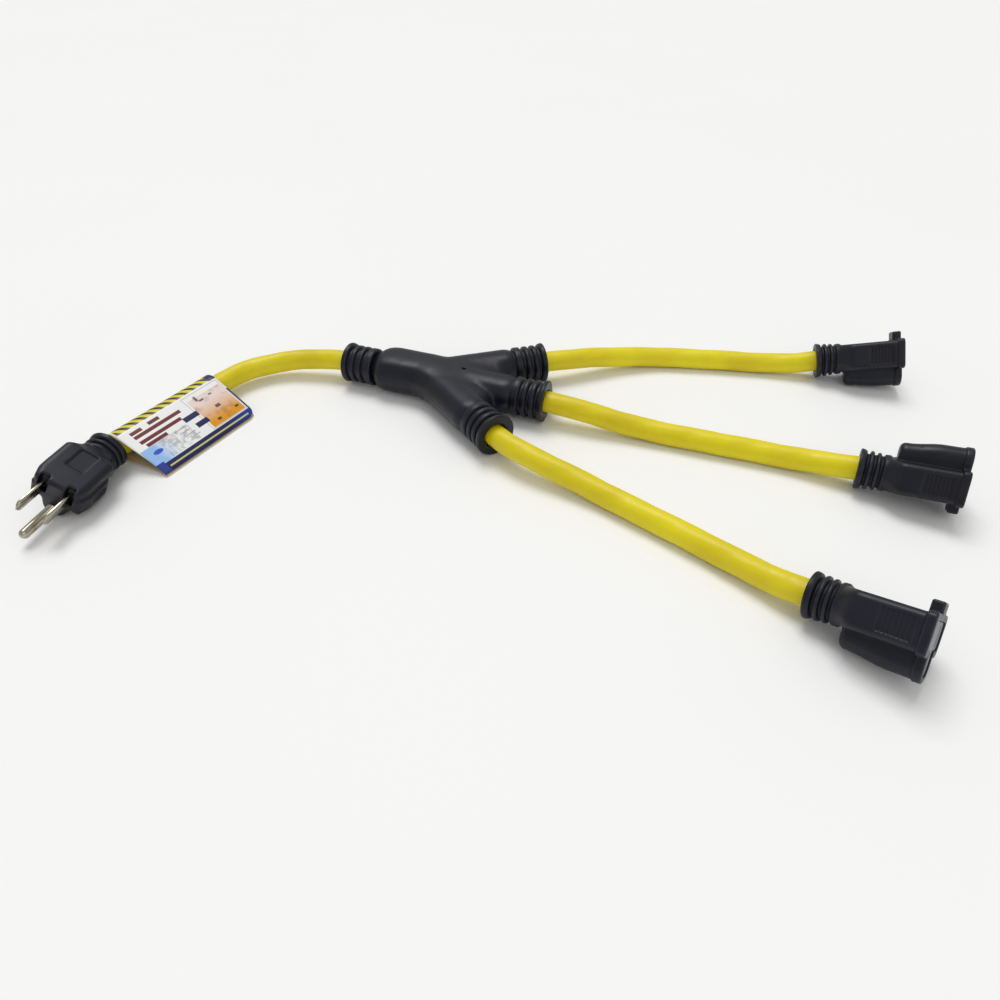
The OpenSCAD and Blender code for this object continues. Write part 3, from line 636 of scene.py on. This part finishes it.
def plug_field(x, y, z):
    """The plug's overmould: x is the distance from its collar face, z points up."""
    rho = np.hypot(y, z)
    grow = smooth_step(x, 10.5, 17)
    half_w = 8.3 + (PLUG_W / 2 - 8.3) * grow - 1.6 * smooth_step(x, 34, PLUG_LEN)
    # flat top and a body that narrows downwards to a round keel
    top = z - (8.4 + (PLUG_TOP - 8.4) * grow - 0.8 * smooth_step(x, 30, PLUG_LEN))
    lean = 0.42 * np.clip(6 - z, 0, 20)
    sides = (np.abs(y) - half_w + lean * grow) / 1.08
    keel_z = -8.3 * (1 - grow) + (PLUG_GROUND_Z - 5.4) * grow
    shell = smooth_max(smooth_max(sides, top, 3.4), keel_z - z, 7.0)
    keel = np.hypot(y, z - PLUG_GROUND_Z) - 5.3 * grow
    shell = smooth_min(shell, keel, 2.0)
    shell = smooth_max(shell, np.abs(x - (PLUG_LEN + 9) / 2) - (PLUG_LEN - 9) / 2, 2.2)
    # a grip wing along each side, with a hollow for a fingertip
    spread = smooth_step(x, 16, 24) - 0.5 * smooth_step(x, 33, PLUG_LEN)
    out = np.where(y > 0, 2.6, 0.6) * spread
    wing = box_3d(x - 30, np.abs(y) - 8.0 - out, z - 1.0, (11, 3.4, 4.6), 1.5)
    shell = smooth_min(shell, wing, 0.5)
    dish = egg(x, np.abs(y), z, (28, 14.9, 1.6), (6.0, 2.6, 3.0))
    shell = smooth_max(shell, -dish, 0.5)
    ledge = box_3d(x - 30, np.abs(y) - 13.1, z - 6.6, (12, 1.0, 0.5), 0.3)
    shell = smooth_max(shell, -ledge, 0.4)
    shell = smooth_min(shell, ribbed_neck(x, rho, pitch=3.4, **PLUG_NECK), 0.8)
    # a blank sunk panel on top, and a notch over each blade
    panel = box_3d(x - 22.5, y, z - PLUG_TOP, (6.0, 4.4, 0.8), 0.3)
    shell = smooth_max(shell, -panel, 0.25)
    for side in (-1, 1):
        notch = box_3d(x - PLUG_LEN, y - side * POLE_Y, z - 10, (3.4, 2.1, 9.4), 1.4)
        shell = smooth_max(shell, -notch, 0.5)
    return shell


def blade_mesh(side):
    """One blade: a flat bar with a bevelled tip and softened edges."""
    tip = PLUG_LEN + BLADE_REACH
    half_h, half_t = BLADE_H / 2, BLADE_T / 2
    soft = 0.22
    sections = [(METAL_START, half_h, half_t), (tip - 2.0, half_h, half_t),
                (tip - 1.0, half_h - 0.7, half_t - 0.12), (tip - 0.3, half_h - 1.5, half_t - 0.4),
                (tip, half_h - 1.8, half_t - 0.55)]
    points = []
    for x, h, t in sections:
        s = min(soft, t * 0.8)
        for y, z in ((t, h - s), (t - s, h), (-t + s, h), (-t, h - s),
                     (-t, -h + s), (-t + s, -h), (t - s, -h), (t, -h + s)):
            points.append((x, side * POLE_Y + y, BLADE_Z + z))
    return points, ring_faces(len(sections), len(points) // len(sections))


def pin_mesh():
    """The ground pin: a round bar with a bullet tip."""
    end = PLUG_LEN + GROUND_REACH + GROUND_R
    profile = [(METAL_START, PIN_STEM_R), (PLUG_LEN - 0.4, PIN_STEM_R),
               (PLUG_LEN - 0.2, GROUND_R)]
    profile += [(end - GROUND_R * (1 - math.sin(a)), GROUND_R * math.cos(a))
                for a in np.radians(np.arange(0, 88, 11))]
    sides = 32
    points = []
    for x, r in profile:
        for j in range(sides):
            a = 2 * math.pi * j / sides
            points.append((x, r * math.cos(a), PLUG_GROUND_Z + r * math.sin(a)))
    return points, ring_faces(len(profile), sides)


def make_plug():
    points, quads, edge = mesh_of_field(plug_field, (-1.5, -16.5, -15.5), (43, 16.5, 13.5),
                                        PLUG_GRID)
    skin = add_piece("plug_skin", points, quads, BLACK_PVC, CORD_BODY,
                     PLUG_FRAME, {"edge": edge})
    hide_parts("plug_body")
    made = [skin]
    for name, side in (("line", -1), ("neutral", 1)):
        points, faces = blade_mesh(side)
        blade = add_piece(f"{name}_blade_plate", points, faces, PLATED, CORD_BODY,
                          PLUG_FRAME)
        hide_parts(f"{name}_blade")
        made.append(blade)
    points, faces = pin_mesh()
    pin = add_piece("ground_pin_bar", points, faces, PLATED, CORD_BODY,
                    PLUG_FRAME)
    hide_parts("ground_pin")
    return made + [pin]


# ---------------------------------------------------------------- card tag


# Print of the card, as rectangles: u0, u1, v0, v1
DARK_SPOTS = [
    (46, 49, 23.4, 24.6), (44.6, 46, 24.6, 28), (50.2, 53.4, 15.2, 17.2),
    (58.6, 61, 9.4, 10.8), (45, 47.6, 8.4, 10), (53, 55, 24, 25),
]
# Rows of plain bars: u0, u1, the middle in v, half the width in v, ink
RED_HALF, NAVY_HALF = 1.05, 1.6
BARS = [
    (4, 11, 28, RED_HALF, "#6a0c12"), (15.4, 22.4, 28.4, RED_HALF, "#6a0c12"),
    (4, 33.6, 25.1, RED_HALF, "#6a0c12"), (4.2, 30.6, 21.2, RED_HALF, "#6a0c12"),
    (5.6, 18.6, 18.2, RED_HALF, "#6a0c12"), (30.4, 40, 18.8, NAVY_HALF, "#0a1050"),
    (33.4, 41.4, 12.6, NAVY_HALF, "#0a1050"),
]


def printed_card():
    """Glossy card. The print attribute holds u, the distance in mm from the plug's end,
    v, the distance from the free edge, and whether the point is on the printed side."""
    s = Shader("printed_card", specular_ior_level=0.3, coat_weight=0.12, coat_roughness=0.2)
    u, v, printed = s.split(s.attribute("print", "Vector"))
    fibre = s.noise(700, 3)
    colour, pale_blue, yellow = srgb("#f3f3f1"), srgb("#86b8f0"), srgb("#dccb14")
    navy, blue = srgb("#0a1050"), srgb("#0f3296")
    # a pale blue wash near the plug, with a grey patch and an oval in it
    wash = s.math("MULTIPLY", s.box(u, v, 0, 20, 4.5, 17),
                  s.ramp(s.math("ADD", u, s.math("MULTIPLY", s.noise(160), 10)), 12, 22, 0.9, 0))
    colour = s.mix(wash, colour, pale_blue)
    grey = s.math("MULTIPLY", s.box(u, v, 11, 30, 6, 17), s.ramp(s.noise(420, 3), 0.42, 0.6))
    colour = s.mix(s.math("MULTIPLY", grey, 0.6), colour, srgb("#8d8f9c"))
    oval = s.math("ADD", s.math("POWER", s.math("DIVIDE", s.math("SUBTRACT", u, 7.4), 2.9), 2),
                  s.math("POWER", s.math("DIVIDE", s.math("SUBTRACT", v, 12.4), 1.3), 2))
    colour = s.mix(s.ramp(oval, 1.15, 0.85), colour, srgb("#2a52c4"))
    # the picture at the far end: white by the fold, orange by the free edge
    warm = s.mix(s.ramp(v, 10, 22), srgb("#e29a08"), srgb("#ecd9d2"))
    warm = s.mix(s.ramp(s.noise(230, 3), 0.5, 0.66, 0, 0.45), warm, srgb("#9a6a3c"))
    picture = s.box(u, v, 40, 62.6, 6.2, 27)
    colour = s.mix(picture, colour, warm)
    for spot in DARK_SPOTS:
        colour = s.mix(s.math("MULTIPLY", s.box(u, v, *spot), 0.85), colour, srgb("#2a2320"))
    frame_line = s.math("SUBTRACT", s.box(u, v, 38.6, 63.4, 5.6, 30.2), s.box(u, v, 39, 63, 6, 29.8))
    colour = s.mix(s.math("MULTIPLY", frame_line, 0.6), colour, srgb("#8a8c90"))
    for u0, u1, v_row, half, ink in BARS:
        colour = s.mix(s.box(u, v, u0, u1, v_row - half, v_row + half), colour, srgb(ink))
    for k in range(4):
        line = s.box(u, v, 21 + 2 * k, 29 + k, 15.8 - 2.4 * k, 16.3 - 2.4 * k)
        colour = s.mix(s.math("MULTIPLY", line, 0.7), colour, srgb("#77797f"))
    # the banded strip along the fold
    slant = s.math("ADD", u, s.math("MULTIPLY", v, 0.8))
    bands = s.math("GREATER_THAN", s.math("SINE", s.math("MULTIPLY", slant, 1.15)), -0.1)
    strip = s.mix(bands, srgb("#1b1b14"), yellow)
    colour = s.mix(s.box(u, v, -1, 60, 31.4, 37.6), colour, strip)
    colour = s.mix(s.box(u, v, 60, 66, 31, 38), colour, navy)
    # the dark border along the free edge and the far edge, and a solid corner
    colour = s.mix(s.box(u, v, 63.6, 66, -1, 22), colour, navy)
    colour = s.mix(s.box(u, v, -1, 66, -1, 5.2), colour, s.mix(s.ramp(u, 46, 62), navy, blue))
    colour = s.mix(s.box(u, v, 6, 61, 2.1, 3.0), colour, srgb("#c9c77c"))
    colour = s.mix(s.box(u, v, -1, 5, -1, 6.6), colour, srgb("#24398c"))
    colour = s.mix(printed, srgb("#cdbb9c"), colour)
    colour = s.mix(s.ramp(fibre, 0.3, 0.9, 0, 0.06), colour, srgb("#8c8a86"))
    s.set(base_color=colour)
    s.set(roughness=s.ramp(fibre, 0.3, 0.7, 0.3, 0.42))
    s.set(normal=s.bump(fibre, 0.02 * MM, 0.4))
    return s.material


CARD = printed_card()
CORNER_R = 5.0                # of the two corners at the free edge's far end
BOW = 0.35                    # how far the leaves bow between the fold and the edge
SKEW = 2.5                    # the card is this much longer along its fold


def card_line():
    """The middle of the card's thickness from the front free edge round the fold to
    the back one: points across the cable and up, and the distance from the front edge."""
    reach = math.hypot(TAG_REACH, TAG_DROP)
    r = LOOP_R + CARD_T / 2
    half = LEAF_GAP / 2 + CARD_T / 2
    a = math.atan2(half, reach) + math.acos(r / math.hypot(reach, half))
    touch = r * np.array([math.cos(a), math.sin(a)])
    share = np.linspace(0, 1, 26)[:, None]
    front = np.array([reach, half]) * (1 - share) + touch * share
    front[:, 1] += BOW * np.sin(math.pi * share[:, 0])
    turn = np.linspace(a, 2 * math.pi - a, 42)[1:-1]
    loop = r * np.stack([np.cos(turn), np.sin(turn)], 1)
    back_edge = np.array([reach + 1.1, -half])
    back = np.array([touch[0], -touch[1]]) * (1 - share) + back_edge * share
    back[:, 1] += BOW * np.sin(math.pi * share[:, 0])
    line = np.concatenate([front, loop, back])
    tilt = math.atan2(-TAG_DROP, TAG_REACH)
    line = line @ np.array([[math.cos(tilt), math.sin(tilt)], [-math.sin(tilt), math.cos(tilt)]])
    run = np.r_[0, np.cumsum(np.linalg.norm(np.diff(line, axis=0), axis=1))]
    return line, run


def make_tag():
    """The folded card: two sheets of points, on its printed and plain side, and its rim."""
    line, run = card_line()
    step = np.gradient(line, axis=0)
    step /= np.linalg.norm(step, axis=1)[:, None]
    outward = np.stack([step[:, 1], -step[:, 0]], 1)
    if outward[0, 1] < 0:                    # the front leaf's outside is up
        outward = -outward
    from_edge = np.minimum(run, run[-1] - run)
    inset = np.clip(CORNER_R - from_edge, 0, CORNER_R)
    near = 0.4 + CORNER_R - np.sqrt(CORNER_R ** 2 - inset ** 2)
    far = TAG_LEN - 0.4 + SKEW * smooth_step(from_edge, 3, 36)
    rows, across = 61, len(line)
    t = np.linspace(0, 1, rows)
    z = near[None, :] + t[:, None] * (far - near)[None, :]
    points, prints = [], []
    for side in (1, -1):
        sheet = line + side * CARD_T / 2 * outward
        grid = np.stack([np.broadcast_to(sheet[:, 0], z.shape),
                         np.broadcast_to(sheet[:, 1], z.shape), z], 2)
        printed = np.full(z.shape, float(side > 0))
        points.append(grid.reshape(-1, 3))
        prints.append(np.stack([TAG_LEN - z, np.broadcast_to(run, z.shape), printed], 2)
                      .reshape(-1, 3))
    total = rows * across

    def cell(i, j, side):
        return side * total + i * across + j

    faces = []
    for i in range(rows - 1):
        for j in range(across - 1):
            outer = [cell(i, j, 0), cell(i, j + 1, 0), cell(i + 1, j + 1, 0), cell(i + 1, j, 0)]
            faces += [outer, [k + total for k in outer[::-1]]]
    for i in range(rows - 1):
        faces.append([cell(i, 0, 0), cell(i + 1, 0, 0), cell(i + 1, 0, 1), cell(i, 0, 1)])
        j = across - 1
        faces.append([cell(i, j, 1), cell(i + 1, j, 1), cell(i + 1, j, 0), cell(i, j, 0)])
    for j in range(across - 1):
        faces.append([cell(0, j, 1), cell(0, j + 1, 1), cell(0, j + 1, 0), cell(0, j, 0)])
        i = rows - 1
        faces.append([cell(i, j, 0), cell(i, j + 1, 0), cell(i, j + 1, 1), cell(i, j, 1)])
    frame_mm = (placed(TAG_AT, 0, 0, TAG_HEADING + 90) @ Matrix.Rotation(math.pi / 2, 4, "X")
                @ Matrix.Translation((0, 0, TAG_START)))
    card = add_piece("tag_card_print", np.concatenate(points), faces, CARD, TAG_BODY,
                     frame_mm, {"print": np.concatenate(prints)})
    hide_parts("tag_card")
    return [card]


# ---------------------------------------------------------------- inside pieces


def dress_inner_nodes():
    """Every CAD node that stays gets the material of what it is made of."""
    looks = [("line_lead", BLACK_WIRE), ("neutral_lead", WHITE_WIRE), ("ground_lead", GREEN_WIRE),
             ("_bus", BRASS), ("_contact", BRASS), ("spacer", NYLON), ("bridge", NYLON),
             ("glue", CARD)]
    for name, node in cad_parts.items():
        for part, look in looks:
            if part in name and not node.hide_render:
                node.data.materials.clear()
                node.data.materials.append(look)


# ---------------------------------------------------------------- scene


FLOOR_HALF = 40.0             # in metres, far past the edge of the picture


def make_stage():
    """A plain pale floor."""
    s = Shader("pale_floor", roughness=0.75, specular_ior_level=0.2)
    s.set(base_color=s.mix(s.noise(3, 2), srgb("#f7f7f6"), srgb("#fafaf9")))
    mesh = bpy.data.meshes.new("floor")
    half = FLOOR_HALF
    mesh.from_pydata([(-half, -half, 0), (half, -half, 0), (half, half, 0), (-half, half, 0)],
                     [], [(0, 1, 2, 3)])
    mesh.materials.append(s.material)
    floor = bpy.data.objects.new("floor", mesh)
    bpy.context.scene.collection.objects.link(floor)


def sun(name, at, strength, angle):
    """A soft distant light that shines from a point towards the origin."""
    data = bpy.data.lights.new(name, "SUN")
    data.energy = strength
    data.angle = math.radians(angle)
    light = bpy.data.objects.new(name, data)
    light.rotation_euler = Vector(at).to_track_quat("Z", "Y").to_euler()
    bpy.context.scene.collection.objects.link(light)


def make_lights():
    """An even white surround, a key light from behind on the left and a weak fill."""
    world = bpy.data.worlds.new("studio")
    world.use_nodes = True
    background = world.node_tree.nodes["Background"]
    background.inputs["Color"].default_value = (1, 1, 1, 1)
    background.inputs["Strength"].default_value = 0.5
    bpy.context.scene.world = world
    sun("key", (-0.35, 0.45, 1.2), 1.45, 32)
    sun("fill", (0.8, -0.7, 0.9), 0.3, 50)


CAMERA_AT = (0.1528, -0.317, 0.228)
CAMERA_DOWN, CAMERA_TURN = 41.3, 20.48     # degrees below level, and from +Y towards -X
CAMERA_LENS, CAMERA_SENSOR = 25.2, 36


def make_camera():
    """The camera looks down from the front, and a little from the right."""
    data = bpy.data.cameras.new("camera")
    data.sensor_width = CAMERA_SENSOR
    data.lens = CAMERA_LENS
    data.clip_start = 0.01
    camera = bpy.data.objects.new("camera", data)
    camera.location = CAMERA_AT
    camera.rotation_euler = (math.radians(90 - CAMERA_DOWN), 0, math.radians(CAMERA_TURN))
    bpy.context.scene.collection.objects.link(camera)
    bpy.context.scene.camera = camera
    bpy.context.scene.view_settings.view_transform = "Standard"


make_camera()
make_stage()
make_lights()
inlet, inlet_path, inlet_length = cable("inlet_cable", INLET_ROUTE, "inlet_cord", 0.4)
branches = [("left", LEFT_ROUTE, 1.7), ("centre", CENTRE_ROUTE, 0.0),
            ("right", RIGHT_ROUTE, -1.7)]
cables = {name: cable(f"{name}_cable", route, f"{name}_cord", phase)
          for name, route, phase in branches}
make_block()
plug = make_plug()
connectors = make_connectors()
tag = make_tag()
dress_inner_nodes()
